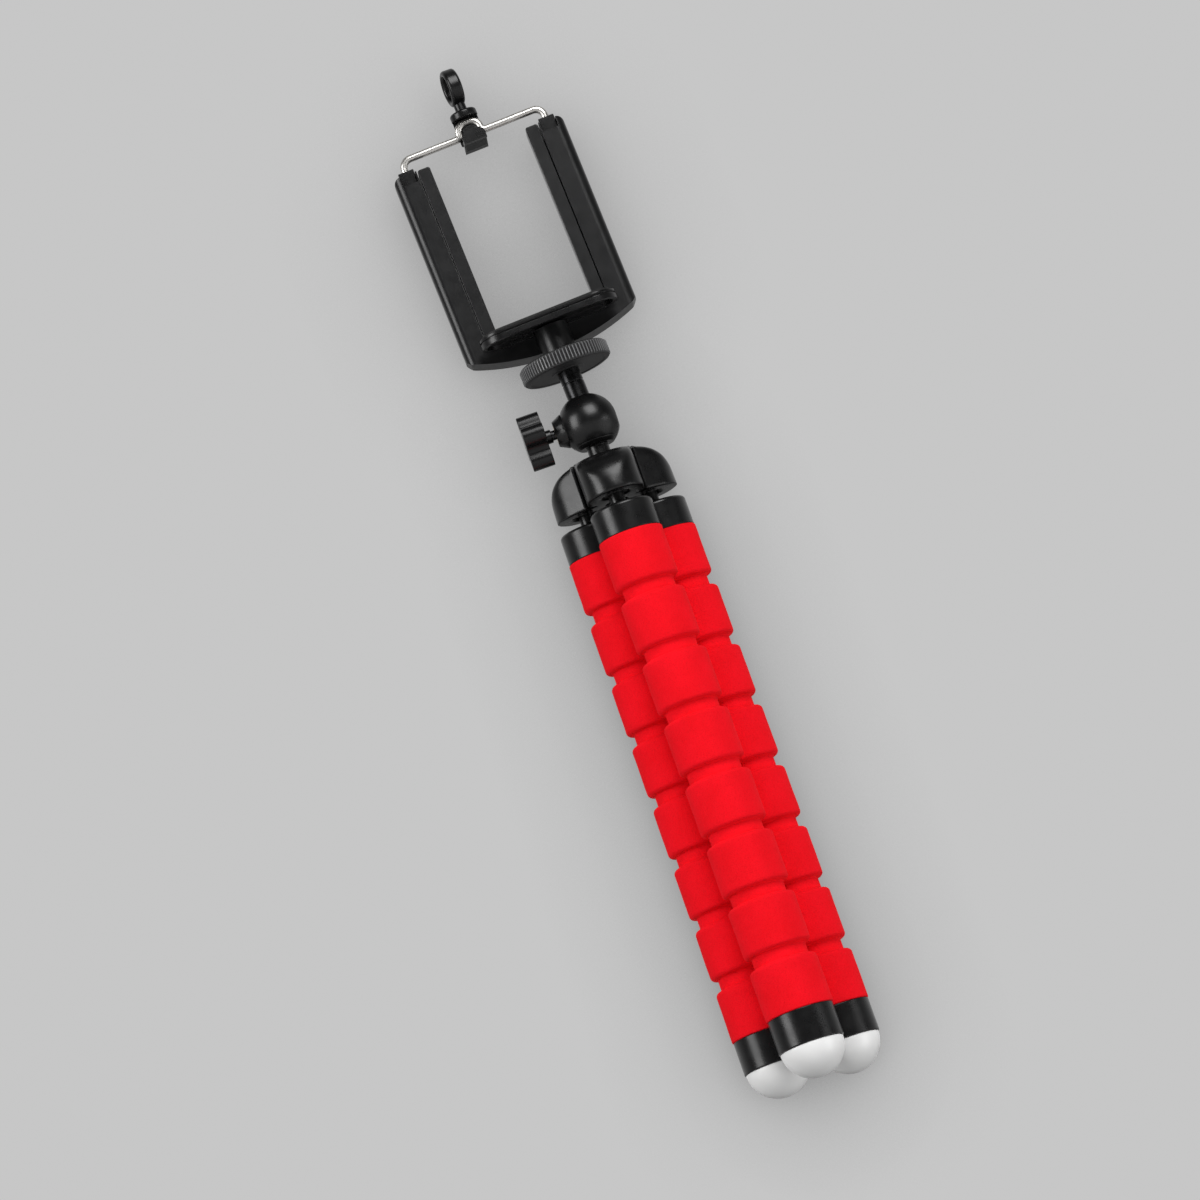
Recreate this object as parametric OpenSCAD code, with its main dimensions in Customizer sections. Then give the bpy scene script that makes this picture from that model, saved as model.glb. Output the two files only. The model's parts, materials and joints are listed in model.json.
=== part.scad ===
// Flexible leg tripod with a ball head and a sprung phone holder, closed and upright.
// Millimetres, +Z up, origin on the tripod's axis at floor level. The front leg stands towards -Y.

/* [Legs] */
// Diameter of the uppermost foam bulge
foam_top_d = 20.9; // [18:0.1:24]
// Diameter of the lowest foam bulge
foam_bottom_d = 22.1; // [18:0.1:24]
// Length of one foam bulge
bulge_len = 16.7; // [15:0.1:24]
// Width of the groove between two bulges
groove_w = 3.9; // [3.2:0.1:5]
// Depth of the groove, in radius
groove_depth = 2.1; // [1.6:0.1:2.6]
// Rounding of the bulges' rims
bulge_round = 1.4; // [0.6:0.1:1.6]
// Rounding of the foam's edge at a cap
foam_end_round = 0.4; // [0.2:0.1:1]
// Gap between neighbouring closed legs at the top
leg_gap = 0.4; // [0.3:0.1:2]
// Gap between neighbouring closed legs at the bottom
foot_gap = 1.1; // [0.3:0.1:3]

/* [Leg caps and feet] */
// How much slimmer than the foam the cap above it is
upper_cap_step = 0.4; // [0:0.1:2]
// Height of the cap above the foam
upper_cap_h = 9.7; // [9:0.1:16]
// How much slimmer than the foam the cap below it is
lower_cap_step = 0.6; // [0:0.1:2]
// Height of the cap below the foam
lower_cap_h = 10.9; // [10:0.1:18]
// Diameter of the round foot
foot_d = 20.7; // [17:0.1:23]
// Diameter of the foot's spigot in the cap
foot_spigot_d = 13; // [8:0.5:15]
// Length of the foot's spigot
foot_spigot_len = 4; // [2:0.1:4.5]
// Rounding of the caps' edges
cap_round = 1.2; // [0.3:0.1:2]

/* [Leg core] */
// Diameter of the balls in the core links
core_ball_d = 8.4; // [7:0.1:9]
// Wall of the cup around a core ball
core_cup_wall = 1.7; // [1.2:0.1:2]
// Diameter of the links' thick middle
core_link_d = 9; // [6:0.1:10]
// Diameter of the thin stem above each core ball
core_stem_d = 4.4; // [3:0.1:4.6]
// Length of the plugs that hold the core in the caps
core_plug_len = 4; // [2:0.1:5]

/* [Leg joints] */
// Diameter of the ball that carries a leg in the crown
leg_ball_d = 8.4; // [7:0.1:9.5]
// Diameter of the leg ball's neck
leg_neck_d = 5.2; // [4:0.1:5.4]
// Diameter of the flange that lies on the upper cap
leg_flange_d = 9; // [7:0.1:12]
// Thickness of that flange
leg_flange_h = 0.9; // [0.5:0.1:1.2]
// Length of the neck inside the upper cap
leg_shank_len = 4.2; // [2:0.1:4.5]
// Height of the leg ball's centre above the crown's underside
socket_depth = 3.8; // [3.4:0.1:4.4]
// Gap between the crown's underside and the upper caps
crown_gap = 4; // [3.6:0.1:6]

/* [Crown] */
// Radius of the three round lobes
lobe_r = 9.5; // [8:0.1:11]
// Height of the crown
crown_h = 15; // [14:0.5:22]
// Radius of the lobes' shoulders
shoulder_r = 12.5; // [8:0.1:13.5]
// Width of the slots between the lobes
crown_slot_w = 1.6; // [0.8:0.1:2.4]
// Rounding of the crown's lower rim
crown_rim_r = 0.8; // [0.2:0.1:1.5]
// Diameter of the screw that holds the ball head
crown_screw_d = 4; // [3:0.1:5]
// Diameter of that screw's head
crown_screw_head_d = 6.8; // [6:0.1:8]
// Height of that screw's head
crown_screw_head_h = 2.6; // [2:0.1:3.5]
// Depth of the hole that the screw's head lies in
crown_screw_hole = 7; // [4:0.5:9]

/* [Ball head] */
// Diameter of the round housing
housing_d = 19.5; // [19:0.1:26]
// Diameter of the ball in the housing
head_ball_d = 14; // [12:0.1:15]
// Visible length of the neck between crown and housing
head_gap = 2.25; // [0.5:0.05:4]
// Diameter of the neck below the housing
head_neck_d = 7.2; // [6:0.1:9]
// Diameter of the ball's own neck
stud_d = 7.2; // [6:0.1:8]
// Play of the neck in the housing's mouth
mouth_play = 1; // [0.8:0.1:1.6]
// Lean of the holder to the left in degrees
head_lean = 2.5; // [0:0.5:4]
// Distance from the ball's centre to the lock wheel
stud_rise = 18.1; // [16:0.1:24]

/* [Clamp knob] */
// Thickness of the knob
knob_h = 7.2; // [6:0.1:12]
// Radius of the knob's four lobes
knob_lobe_r = 3.1; // [2.8:0.1:3.8]
// Distance of the lobes from the knob's axis
knob_lobe_circle_r = 6.3; // [5.6:0.1:7]
// Turn of the knob in degrees
knob_turn = 10; // [0:1:45]
// Distance from the ball's centre to the knob
knob_offset = 14.4; // [14:0.1:18]
// Diameter of the clamp screw
clamp_screw_d = 3.2; // [3:0.1:4]
// Diameter of the boss on the housing, at its root
clamp_boss_d = 11.2; // [10:0.1:13]
// Diameter of the boss's face
clamp_boss_face_d = 8.2; // [8:0.1:9.6]
// Distance from the ball's centre to the boss's face
clamp_boss_reach = 11.3; // [10.8:0.1:12.2]

/* [Lock wheel] */
// Diameter of the knurled wheel
wheel_d = 29.5; // [24:0.5:36]
// Thickness of the knurled wheel
wheel_h = 5.3; // [3.5:0.1:7]
// Number of ribs on the wheel
wheel_ribs = 80; // [40:1:96]
// Height of the ribs
wheel_rib_h = 0.55; // [0.3:0.05:0.8]
// Diameter of the camera screw, a quarter inch
camera_screw_d = 6.35; // [6.35]

/* [Phone holder] */
// Width over the two arms
clip_w = 58; // [54:0.5:66]
// Depth of the arms
arm_depth = 10; // [9.6:0.1:13]
// Width of an arm's outer channel
channel_w = 8.1; // [7.8:0.1:10]
// Width of an arm's inner cover
cover_w = 4.2; // [3:0.1:6]
// Height of the arms above the tray's top
arm_rise = 61.2; // [56:0.2:80]
// Rounding of the arms' outer edges
arm_round = 3; // [1:0.1:3.4]
// Height of the bridge between the arms, at its middle
bridge_h = 9.4; // [8.6:0.1:12]
// How far the bridge's underside bows down
bridge_sag = 5.3; // [2:0.1:6.5]
// Diameter of the boss under the bridge
clip_boss_d = 11; // [10.4:0.1:16]
// Outer diameter of the threaded insert
insert_d = 8.6; // [8.2:0.1:9.4]

/* [Tray] */
// Length of the tray
tray_w = 46; // [40:0.5:50]
// Reach of the tray in front of the arms
tray_reach = 15.6; // [13:0.1:20]
// Thickness of the tray's rim
tray_h = 3.1; // [2.4:0.1:4.5]
// Thickness of the tray's skin
tray_skin = 1.6; // [1:0.1:1.8]
// Thickness of the pads on the tray and under the hook
pad_h = 0.8; // [0.5:0.1:0.9]

/* [Wire bail] */
// Diameter of the bail's wire
wire_d = 2.4; // [1.6:0.1:2.6]
// Radius of the bail's corners, on the wire's axis
wire_bend_r = 3; // [2.5:0.1:3.8]
// Height of the hump over the hook block
hump_h = 4.3; // [3.6:0.1:4.6]
// Half the width of the hump, on the wire's axis
hump_half_w = 3.7; // [3.4:0.1:5]
// Travel of the bail
bail_travel = 28; // [10:1:30]
// Height of the stop collars on the wire's ends
collar_h = 3; // [2:0.1:5]
// Diameter of the springs' wire
spring_wire_d = 0.7; // [0.5:0.05:0.8]
// Number of turns in each spring
spring_turns = 14; // [8:1:18]

/* [Hook and ring] */
// Reach of the hook in front of the arms
hook_reach = 12.5; // [10:0.1:16]
// Width of the hook's jaw
jaw_w = 7.7; // [6:0.1:9]
// Height of the hook's jaw
jaw_h = 3.1; // [2.7:0.1:3.6]
// Drop of the hook's lip
lip_drop = 1; // [1:0.1:4]
// Thickness of the hook's lip
lip_t = 2.5; // [1.5:0.1:4]
// Diameter of the hook's cap above the wire
hook_cap_d = 8.8; // [7:0.1:9.6]
// Height of the hook's cap above the wire
hook_cap_h = 2.4; // [2:0.1:5]
// Outer diameter of the pull ring
ring_d = 12.2; // [11:0.1:18]
// Diameter of the pull ring's hole
ring_hole_d = 8.2; // [7:0.1:9]
// Width of the pull ring
ring_w = 4.4; // [3:0.1:6]
// Diameter of the ring's stem
ring_stem_d = 3.8; // [2.5:0.1:4]
// Visible length of the ring's stem
ring_stem_len = 2.3; // [1:0.1:6]
// Turn of the ring about its stem in degrees
ring_turn = 10; // [0:1:45]

/* [Hidden] */
$fn = 64;
LEGS = ["front", "right", "left"];
LEG_ANGLE = [270, 30, 150];
BULGES = 8;
LEG_PIECES = concat(
    ["ball_stud", "upper_cap"],
    [for (i = [1:BULGES]) str("bulge_", i)],
    ["lower_cap", "foot"]
);
HEAD_PIECES = [
    "crown", "crown_screw", "ball_housing", "ball_seat", "pressure_pad", "clamp_bush", "clamp_knob",
    "clamp_screw", "head_stud", "lock_wheel", "holder_frame", "left_arm_cover", "right_arm_cover",
    "thread_insert", "tray", "tray_pad", "wire_bail", "bail_bushes", "stop_collars", "bail_springs",
    "hook_block", "hook_pad", "pull_ring"
];

// Clearances: a running fit, pieces fixed in each other, and pieces that pass each other
run_fit = 0.05;
set_fit = 0.05;
free_gap = 0.35;
// Overlap of shapes that are joined or cut
over = 0.5;

// Legs, in their own frame: the origin is the leg ball's centre and the leg hangs down along -Z
pitch = bulge_len + groove_w;
foam_len = BULGES * bulge_len + (BULGES - 1) * groove_w;
upper_cap_d = foam_top_d - upper_cap_step;
lower_cap_d = foam_bottom_d - lower_cap_step;
cap_top = -(socket_depth + crown_gap);
foam_top = cap_top - upper_cap_h;
foam_bottom = foam_top - foam_len;
foot_z = foam_bottom - lower_cap_h;
function bulge_top(i) = foam_top - (i - 1) * pitch;
function bulge_bottom(i) = bulge_top(i) - bulge_len;
function groove_z(i) = bulge_bottom(i) - groove_w / 2;
function bulge_r(i) = (foam_top_d + (foam_bottom_d - foam_top_d) * (i - 1) / (BULGES - 1)) / 2;
function neck_r(i) = (bulge_r(i) + bulge_r(i + 1)) / 2 - groove_depth;

// Core links: a ball below, a cup above
core_ball_r = core_ball_d / 2;
cup_hole_r = core_ball_r + run_fit;
cup_r = cup_hole_r + core_cup_wall;
cup_lip = core_ball_r / 2;
neck_lip = cup_lip + 2.4;

// The closed legs just clear each other at the top and at the bottom of the foam
spacing = 2 * sin(60);
top_circle_r = (foam_top_d + leg_gap) / spacing;
bottom_circle_r = (max(foam_bottom_d, foot_d) + foot_gap) / spacing;
leg_splay = atan((bottom_circle_r - top_circle_r) / foam_len);
leg_circle_r = top_circle_r + foam_top * tan(leg_splay);
pivot_z = foot_d / 2 - foot_z * cos(leg_splay);

// Crown and ball head, in heights above the floor
crown_z = pivot_z - socket_depth;
crown_top = crown_z + crown_h;
crown_r = leg_circle_r + lobe_r;
crown_core_r = lobe_r * 0.84;
leg_ball_r = leg_ball_d / 2;
socket_r = leg_ball_r + run_fit;
socket_lip = leg_ball_r * 0.38;
socket_lip_r = sqrt(socket_r * socket_r - socket_lip * socket_lip);
mouth_widening = 1;
housing_r = housing_d / 2;
ball_z = crown_top + head_gap + housing_r;
screw_seat_z = crown_z + crown_screw_hole;

// Ball head, from the ball's centre
head_ball_r = head_ball_d / 2;
seat_r = head_ball_r + run_fit;
plug_r = seat_r + set_fit;
stud_r = stud_d / 2;
mouth_r = stud_r + mouth_play;
slot_r = stud_r + free_gap;
pad_r = clamp_screw_d / 2 + 1.4;
bush_len = 2.2;
bush_in = clamp_boss_reach - bush_len;
boss_root = sqrt(housing_r * housing_r - clamp_boss_d * clamp_boss_d / 4) + free_gap;
clamp_collar_h = (knob_offset - clamp_boss_reach) * 0.6;
clamp_collar_r = clamp_screw_d / 2 + 0.6;
knob_skin = 2;
seat_top = -(pad_r + free_gap);
seat_bottom = -(seat_r + 0.9);
neck_bottom = -(ball_z - crown_top);

// Phone holder, from the ball's centre along the stud
wheel_top = stud_rise + wheel_h;
clip_z = wheel_top + run_fit;
boss_drop = 3;
lap = 0.4;
screw_r = camera_screw_d / 2;
screw_hole_r = screw_r + run_fit;
bridge_bottom = clip_z + boss_drop;
bridge_top = bridge_bottom + bridge_h;
arm_top = bridge_top + arm_rise;
tray_bottom = bridge_top - tray_h;
insert_z = clip_z + lap;
insert_top = tray_bottom + lap;
screw_top = insert_top - lap;
boss_top = insert_top + lap;
frame_front = 1;
frame_back = frame_front + arm_depth;
wire_y = frame_front + arm_depth / 2;
arm_outer = clip_w / 2;
channel_in = arm_outer - channel_w;
cover_gap = 0.3;
cover_in = channel_in - cover_gap - cover_w;
channel_wall = 1.8;
spring_room = channel_w - channel_wall;
wire_x = channel_in + spring_room / 2;
corner_drop = 1.5;
arm_top_round = 2.2;
tray_tab_half = 12;
tray_tab_len = 5;

// Wire bail
wire_r = wire_d / 2;
wire_hole_r = wire_r + run_fit;
wire_gap = 0.1;
bush_stand = 1.6;
bush_depth = 3.3;
bush_wall = 1.4;
web_t = 1.1;
floor_t = 3;
spring_play = 0.25;
bush_top = arm_top + bush_stand;
bush_bottom = arm_top - bush_depth;
bush_half = wire_r + bush_wall;
web_bottom = bush_bottom - web_t;
bar_rise = 4;
bar_z = bush_top + bar_rise;
channel_floor = bridge_top + floor_t;
wire_end = channel_floor + set_fit;
collar_top = wire_end + collar_h;
spring_r = spring_room / 2 - spring_play;
collar_r = spring_r;
hump_fillet_r = wire_r + wire_gap;
hump_corner_r = hump_h - hump_fillet_r;

// Hook block and pull ring
hook_half_w = hump_half_w - wire_r - wire_gap;
hook_arch_top = bar_z + hump_h - wire_r - wire_gap;
hook_arch_round = hump_corner_r - wire_r - wire_gap;
hook_cap_r = hook_cap_d / 2;
hook_cap_z = bar_z + hump_h + wire_r + wire_gap;
hook_top = hook_cap_z + hook_cap_h;
hook_web_y = wire_y + wire_r + wire_gap;
jaw_half_w = jaw_w / 2;
jaw_round = jaw_w / 3;
jaw_bottom = arm_top + lap;
jaw_top = jaw_bottom + jaw_h;
jaw_front = frame_front - hook_reach;
ring_z = hook_top + ring_stem_len + ring_d / 2;
ring_edge_r = (ring_d - ring_hole_d) / 4;

// Points of a round corner, turning from angle a to angle b
function arc(center, r, a, b, steps = 8) =
    [for (k = [0:steps]) center + r * [cos(a + (b - a) * k / steps), sin(a + (b - a) * k / steps)]];

// Half section of a round bar from z = 0 to h with rounded edges
function bar_section(r, h, bottom_round, top_round) = concat(
    [[0, 0]],
    arc([r - bottom_round, bottom_round], bottom_round, -90, 0),
    arc([r - top_round, h - top_round], top_round, 0, 90),
    [[0, h]]
);

// Rectangle with round corners, from corner a to corner b
function round_rect(a, b, r) = concat(
    arc([b[0] - r, a[1] + r], r, -90, 0),
    arc([b[0] - r, b[1] - r], r, 0, 90),
    arc([a[0] + r, b[1] - r], r, 90, 180),
    arc([a[0] + r, a[1] + r], r, 180, 270)
);

// Cylinder from height z0 to height z1
module rod(r, z0, z1) {
    translate([0, 0, z0]) cylinder(r = r, h = z1 - z0);
}

// Cylinder along X from x0 to x1
module cross_rod(r, x0, x1) {
    translate([x0, 0, 0]) rotate([0, 90, 0]) cylinder(r = r, h = x1 - x0);
}

// Box from corner a to corner b
module block(a, b) {
    translate(a) cube(b - a);
}

// Extrudes an outline of X and Z along Y
module from_front(y0, y1) {
    translate([0, y1, 0]) rotate([90, 0, 0]) linear_extrude(height = y1 - y0) children();
}

module place_leg(i) {
    rotate([0, 0, LEG_ANGLE[i]])
        translate([leg_circle_r, 0, pivot_z])
            rotate([0, -leg_splay, 0])
                children();
}

module place_housing() {
    translate([0, 0, ball_z]) children();
}

module place_holder() {
    place_housing() rotate([0, -head_lean, 0]) children();
}

module both_sides() {
    children();
    mirror([1, 0, 0]) children();
}

// Ball, neck and flange that carry a leg
module ball_stud() {
    color("dimgray") {
        sphere(r = leg_ball_r);
        rod(leg_neck_d / 2, cap_top - leg_shank_len, 0);
        rod(leg_flange_d / 2, cap_top + run_fit, cap_top + run_fit + leg_flange_h);
    }
}

module upper_cap() {
    color("black")
        difference() {
            translate([0, 0, foam_top])
                rotate_extrude() polygon(bar_section(upper_cap_d / 2, upper_cap_h, 0.3, cap_round));
            rod(core_link_d / 2 + set_fit, foam_top - over, foam_top + core_plug_len + set_fit);
            rod(leg_neck_d / 2 + run_fit, cap_top - leg_shank_len - set_fit, cap_top + over);
        }
}

// Foam of bulge i: a round rimmed barrel with a ball shaped neck above and a hollow below
module foam(i) {
    difference() {
        union() {
            translate([0, 0, bulge_bottom(i)])
                rotate_extrude()
                    polygon(bar_section(
                        bulge_r(i),
                        bulge_len,
                        i < BULGES ? bulge_round : foam_end_round,
                        i > 1 ? bulge_round : foam_end_round
                    ));
            if (i > 1)
                translate([0, 0, groove_z(i - 1)])
                    intersection() {
                        sphere(r = neck_r(i - 1));
                        rod(neck_r(i - 1) + over, -groove_w, neck_lip);
                    }
        }
        rod(core_link_d / 2 + set_fit, bulge_bottom(i) - over, bulge_top(i) + over);
        if (i > 1)
            translate([0, 0, groove_z(i - 1)]) {
                sphere(r = cup_r + set_fit);
                rod(cup_r - 0.6, 0, neck_lip + over);
            }
        if (i < BULGES)
            translate([0, 0, groove_z(i)]) sphere(r = neck_r(i) + free_gap);
    }
}

// Core link of bulge i: a cup or a plug above, a ball or a plug below
module core_link(i) {
    stem_top = i < BULGES ? groove_z(i) + neck_r(i) + 2 * free_gap : foam_bottom - core_plug_len;
    link_top = i > 1 ? groove_z(i - 1) - cup_hole_r : foam_top + core_plug_len;
    difference() {
        union() {
            rod(core_link_d / 2, stem_top, link_top);
            if (i < BULGES) {
                rod(core_stem_d / 2, groove_z(i), stem_top + over);
                translate([0, 0, groove_z(i)]) sphere(r = core_ball_r);
            }
            if (i > 1)
                translate([0, 0, groove_z(i - 1)])
                    intersection() {
                        sphere(r = cup_r);
                        rod(cup_r + over, -cup_r - over, cup_lip);
                    }
        }
        if (i > 1)
            translate([0, 0, groove_z(i - 1)]) sphere(r = cup_hole_r);
    }
}

module bulge(i) {
    color("red") foam(i);
    color("dimgray") core_link(i);
}

module lower_cap() {
    color("black")
        difference() {
            translate([0, 0, foot_z])
                rotate_extrude() polygon(bar_section(lower_cap_d / 2, lower_cap_h, cap_round / 3, 0.3));
            rod(core_link_d / 2 + set_fit, foam_bottom - core_plug_len - set_fit, foam_bottom + over);
            rod(foot_spigot_d / 2 + set_fit, foot_z - over, foot_z + foot_spigot_len + set_fit);
        }
}

module foot() {
    color("white")
        translate([0, 0, foot_z]) {
            intersection() {
                sphere(r = foot_d / 2);
                rod(foot_d, -foot_d, 0);
            }
            rod(foot_spigot_d / 2, -over, foot_spigot_len);
        }
}

// Three lobes under one round shoulder, with slots between them and a socket in each
module crown() {
    color("black")
        difference() {
            intersection() {
                translate([0, 0, crown_z])
                    rotate_extrude() polygon(bar_section(crown_r, crown_h, crown_rim_r, shoulder_r));
                for (angle = LEG_ANGLE)
                    rotate([0, 0, angle]) {
                        block([0, -lobe_r, crown_z - over], [leg_circle_r, lobe_r, crown_top + over]);
                        translate([leg_circle_r, 0, 0]) rod(lobe_r, crown_z - over, crown_top + over);
                    }
            }
            for (i = [0:2])
                place_leg(i) {
                    sphere(r = socket_r);
                    translate([0, 0, -socket_depth - over])
                        cylinder(
                            r1 = socket_lip_r + mouth_widening,
                            r2 = socket_lip_r,
                            h = socket_depth + over - socket_lip
                        );
                }
            for (angle = LEG_ANGLE)
                rotate([0, 0, angle + 60])
                    block(
                        [crown_core_r, -crown_slot_w / 2, crown_z - over],
                        [crown_r, crown_slot_w / 2, crown_top + over]
                    );
            rod(crown_screw_head_d / 2 + free_gap, crown_z - over, screw_seat_z);
            rod(crown_screw_d / 2 + run_fit, crown_z, crown_top + over);
        }
}

module crown_screw() {
    head_top = screw_seat_z - run_fit;
    color("silver")
        difference() {
            union() {
                rod(crown_screw_head_d / 2, head_top - crown_screw_head_h, head_top);
                rod(crown_screw_d / 2, head_top - over, ball_z - seat_r - 1);
            }
            for (angle = [0, 90])
                rotate([0, 0, angle])
                    translate([0, 0, head_top - crown_screw_head_h])
                        cube([crown_screw_d, 0.9, crown_screw_head_h], center = true);
        }
}

// Round shell with a mouth for the ball's neck and a slot that lets the neck lie down to the right
module ball_housing() {
    color("black")
        difference() {
            union() {
                sphere(r = housing_r);
                rotate([0, -90, 0])
                    rotate_extrude()
                        polygon([
                            [0, clamp_boss_reach / 2],
                            [clamp_boss_d / 2, clamp_boss_reach / 2],
                            [clamp_boss_d / 2, boss_root],
                            [clamp_boss_face_d / 2, clamp_boss_reach],
                            [0, clamp_boss_reach]
                        ]);
            }
            sphere(r = seat_r);
            rod(plug_r, -housing_r - over, 0);
            rod(mouth_r, 0, housing_r + over);
            block([0, -slot_r, 0], [housing_r + over, slot_r, housing_r + over]);
            cross_rod(slot_r, 0, housing_r + over);
            cross_rod(pad_r + set_fit, -clamp_boss_reach - over, 0);
        }
}

// Plug that closes the housing below, with the ball's seat and the neck to the crown
module ball_seat() {
    color("black")
        difference() {
            union() {
                intersection() {
                    sphere(r = housing_r);
                    rod(seat_r, seat_bottom, seat_top);
                }
                rod(head_neck_d / 2, neck_bottom + run_fit, -seat_r);
            }
            sphere(r = seat_r);
            rod(crown_screw_d / 2 + set_fit, neck_bottom - over, -seat_r - 1 + set_fit);
        }
}

module pressure_pad() {
    color("ivory")
        difference() {
            cross_rod(pad_r, -bush_in + set_fit, -head_ball_r * 0.8);
            sphere(r = seat_r);
        }
}

module clamp_bush() {
    color("goldenrod")
        difference() {
            cross_rod(pad_r, -clamp_boss_reach, -bush_in);
            cross_rod(clamp_screw_d / 2 + run_fit, -clamp_boss_reach - over, -bush_in + over);
        }
}

// Four round lobes with a hollow between each two, one outline of arcs that run into each other
module knob_outline() {
    hollow_at = knob_lobe_circle_r * 1.2;
    to_hollow = hollow_at * [cos(45), sin(45)] - [knob_lobe_circle_r, 0];
    hollow_r = norm(to_hollow) - knob_lobe_r;
    meet = atan2(to_hollow[1], to_hollow[0]);
    apart = 8;
    polygon([
        for (turn = [0:90:270])
            each concat(
                arc(knob_lobe_circle_r * [cos(turn), sin(turn)], knob_lobe_r, turn - meet, turn + meet, 16),
                arc(
                    hollow_at * [cos(turn + 45), sin(turn + 45)],
                    hollow_r,
                    turn + meet - 180 - apart,
                    turn - meet - 90 + apart
                )
            )
    ]);
}

// Lobed knob with a collar towards the housing
module clamp_knob() {
    far = -knob_offset - knob_h;
    color("black")
        difference() {
            union() {
                translate([far, 0, 0])
                    rotate([0, 90, 0])
                        rotate([0, 0, -knob_turn])
                            linear_extrude(height = knob_h) knob_outline();
                cross_rod(clamp_collar_r, -knob_offset - over, -knob_offset + clamp_collar_h);
            }
            cross_rod(
                clamp_screw_d / 2 + set_fit,
                far + knob_skin - set_fit,
                -knob_offset + clamp_collar_h + over
            );
        }
}

module clamp_screw() {
    color("silver")
        cross_rod(clamp_screw_d / 2, -knob_offset - knob_h + knob_skin, -bush_in - run_fit);
}

// Ball, neck with a fine groove, and the quarter inch screw
module head_stud() {
    groove_at = (housing_r + stud_rise) / 2;
    color("black")
        difference() {
            union() {
                sphere(r = head_ball_r);
                rod(stud_r, 0, stud_rise - run_fit);
            }
            translate([0, 0, groove_at])
                rotate_extrude() translate([stud_r - 0.25, -0.25]) square([1, 0.5]);
        }
    color("silver") rod(screw_r, stud_rise - run_fit - over, screw_top);
}

module lock_wheel() {
    rim_r = wheel_d / 2 - wheel_rib_h;
    rib_inset = 0.35;
    step = 360 / wheel_ribs;
    ribs = [
        for (k = [0:wheel_ribs - 1])
            each [
                for (part = [[0, 0], [0.2, 1], [0.55, 1], [0.75, 0]])
                    (rim_r + part[1] * wheel_rib_h)
                        * [cos((k + part[0]) * step), sin((k + part[0]) * step)]
            ]
    ];
    color("black")
        translate([0, 0, stud_rise])
            difference() {
                union() {
                    rotate_extrude() polygon(bar_section(rim_r, wheel_h, 0.3, 0.3));
                    translate([0, 0, rib_inset])
                        linear_extrude(height = wheel_h - 2 * rib_inset) polygon(ribs);
                }
                rod(screw_hole_r, -over, wheel_h + over);
            }
}

// Outline of the two arms and the bridge from the front, with a bowed underside
module frame_outline() {
    half = arm_outer - corner_drop;
    bow_r = (half * half + bridge_sag * bridge_sag) / (2 * bridge_sag);
    bow_angle = asin(half / bow_r);
    bow = arc([0, bridge_bottom + bow_r], bow_r, 270 - bow_angle, 270 + bow_angle, 24);
    polygon(concat(
        bow,
        [[arm_outer, bridge_bottom + bridge_sag + corner_drop]],
        arc([arm_outer - arm_top_round, arm_top - arm_top_round], arm_top_round, 0, 90),
        [
            [channel_in, arm_top],
            [channel_in, bridge_top],
            [-channel_in, bridge_top],
            [-channel_in, arm_top]
        ],
        arc([arm_top_round - arm_outer, arm_top - arm_top_round], arm_top_round, 90, 180),
        [[-arm_outer, bridge_bottom + bridge_sag + corner_drop]]
    ));
}

module holder_frame() {
    color("black")
        difference() {
            union() {
                intersection() {
                    from_front(frame_front, frame_back) frame_outline();
                    linear_extrude(height = arm_top + over)
                        polygon(round_rect([-arm_outer, frame_front], [arm_outer, frame_back], arm_round));
                }
                rod(clip_boss_d / 2, clip_z, boss_top);
            }
            rod(insert_d / 2 + set_fit, clip_z - over, insert_top + set_fit);
            block(
                [-tray_tab_half - set_fit, frame_front - over, bridge_top - tray_skin - set_fit],
                [tray_tab_half + set_fit, frame_front + tray_tab_len + set_fit, bridge_top + over]
            );
            both_sides() {
                translate([wire_x, wire_y, 0]) rod(wire_r + free_gap, web_bottom - over, arm_top + over);
                block(
                    [channel_in - over, wire_y - spring_room / 2, channel_floor],
                    [channel_in + spring_room, wire_y + spring_room / 2, web_bottom]
                );
                block(
                    [wire_x - bush_half - set_fit, frame_front - over, bush_bottom - set_fit],
                    [wire_x + bush_half + set_fit, wire_y + bush_half + set_fit, arm_top + over]
                );
            }
        }
}

// Bar that closes the right arm's channel
module arm_cover() {
    color("black")
        from_front(frame_front + 0.2, frame_back - 0.2)
            polygon(round_rect([cover_in, bridge_top + set_fit], [cover_in + cover_w, arm_top], 0.8));
}

module thread_insert() {
    color("goldenrod")
        difference() {
            rod(insert_d / 2, insert_z, insert_top);
            rod(screw_hole_r, insert_z - over, insert_top + over);
        }
}

// Outline of the tray, drawn in by inset
module tray_outline(inset) {
    back = frame_front - set_fit;
    end_r = tray_reach / 2;
    for (side = [-1, 1])
        translate([side * (tray_w / 2 - end_r), back - end_r]) circle(r = end_r - inset);
    translate([-tray_w / 2 + end_r, back - tray_reach + inset])
        square([tray_w - 2 * end_r, tray_reach - 2 * inset]);
}

// Shelf with a grooved rim, hollow below, on a tab that lies in the bridge
module tray() {
    rim_wall = 1.6;
    groove = 0.5;
    color("black") {
        difference() {
            translate([0, 0, tray_bottom]) linear_extrude(height = tray_h) tray_outline(0);
            translate([0, 0, tray_bottom - over])
                linear_extrude(height = tray_h - tray_skin + over) tray_outline(rim_wall);
            translate([0, 0, bridge_top - tray_skin + 0.2])
                linear_extrude(height = groove)
                    difference() {
                        tray_outline(-over);
                        tray_outline(groove);
                    }
            rod(clip_boss_d / 2 + 0.2, tray_bottom - over, boss_top + 0.2);
        }
        block(
            [-tray_tab_half, frame_front - 1, bridge_top - tray_skin],
            [tray_tab_half, frame_front + tray_tab_len, bridge_top]
        );
    }
}

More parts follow.
